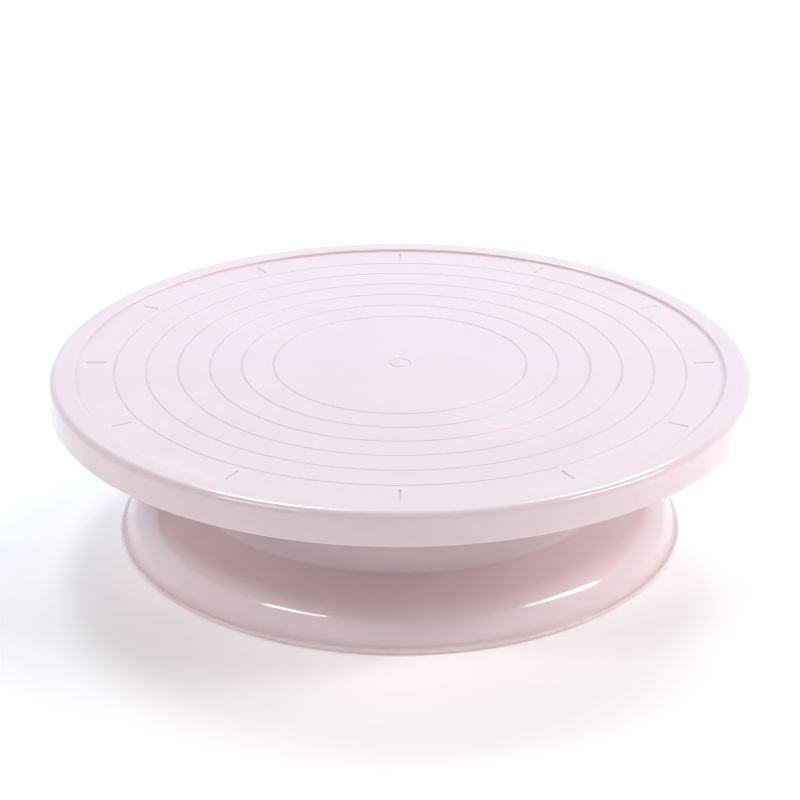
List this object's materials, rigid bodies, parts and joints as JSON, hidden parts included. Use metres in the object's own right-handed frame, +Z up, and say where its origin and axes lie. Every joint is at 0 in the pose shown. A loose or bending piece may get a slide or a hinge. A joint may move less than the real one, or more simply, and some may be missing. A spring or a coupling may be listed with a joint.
{
  "type": "cake turntable",
  "caption": "Round cake decorating turntable: a plate with a raised lip turns freely on a ball race over a bell-shaped base with a shoulder and a narrower neck.",
  "frame": {"origin": "centre of the underside, on the surface the feet stand on, on the axis the plate turns about", "axes": "+Z up along the axis the plate turns about, +Y away from the viewer"},
  "size_m": [0.28, 0.28, 0.071],
  "materials": {
    "pink_plastic": "gloss",
    "silicone": "satin",
    "race_steel": "ground",
    "spindle_steel": "turned",
    "ball_steel": "polished",
    "cage_plastic": "matte",
    "acetal": "satin",
    "screw_steel": "zinc plated"
  },
  "bodies": {
    "base": {"base_shell": "pink_plastic", "foot_pad_1": "silicone", "foot_pad_2": "silicone", "foot_pad_3": "silicone", "foot_pad_4": "silicone", "foot_pad_5": "silicone", "foot_pad_6": "silicone", "lower_race": "race_steel", "upper_bush": "acetal", "lower_bush": "acetal", "bottom_cap": "pink_plastic"},
    "plate": {"turntable_plate": "pink_plastic", "upper_race": "race_steel", "spindle": "spindle_steel", "spindle_screws": "screw_steel", "retaining_washer": "screw_steel", "spring_washer": "screw_steel", "retaining_screw": "screw_steel"},
    "ball_cage": {"ball_cage": "cage_plastic", "thrust_balls": "ball_steel"}
  },
  "joints": [
    {"name": "plate_spin", "type": "hinge", "parent": "base", "child": "plate", "pos_m": [0, 0, 0.056], "axis": [0, 0, 1], "continuous": true},
    {"name": "cage_spin", "type": "hinge", "parent": "base", "child": "ball_cage", "pos_m": [0, 0, 0.056], "axis": [0, 0, 1], "continuous": true}
  ],
  "couplings": [
    {"joint": "cage_spin", "follows": "plate_spin", "ratio": 0.5}
  ]
}
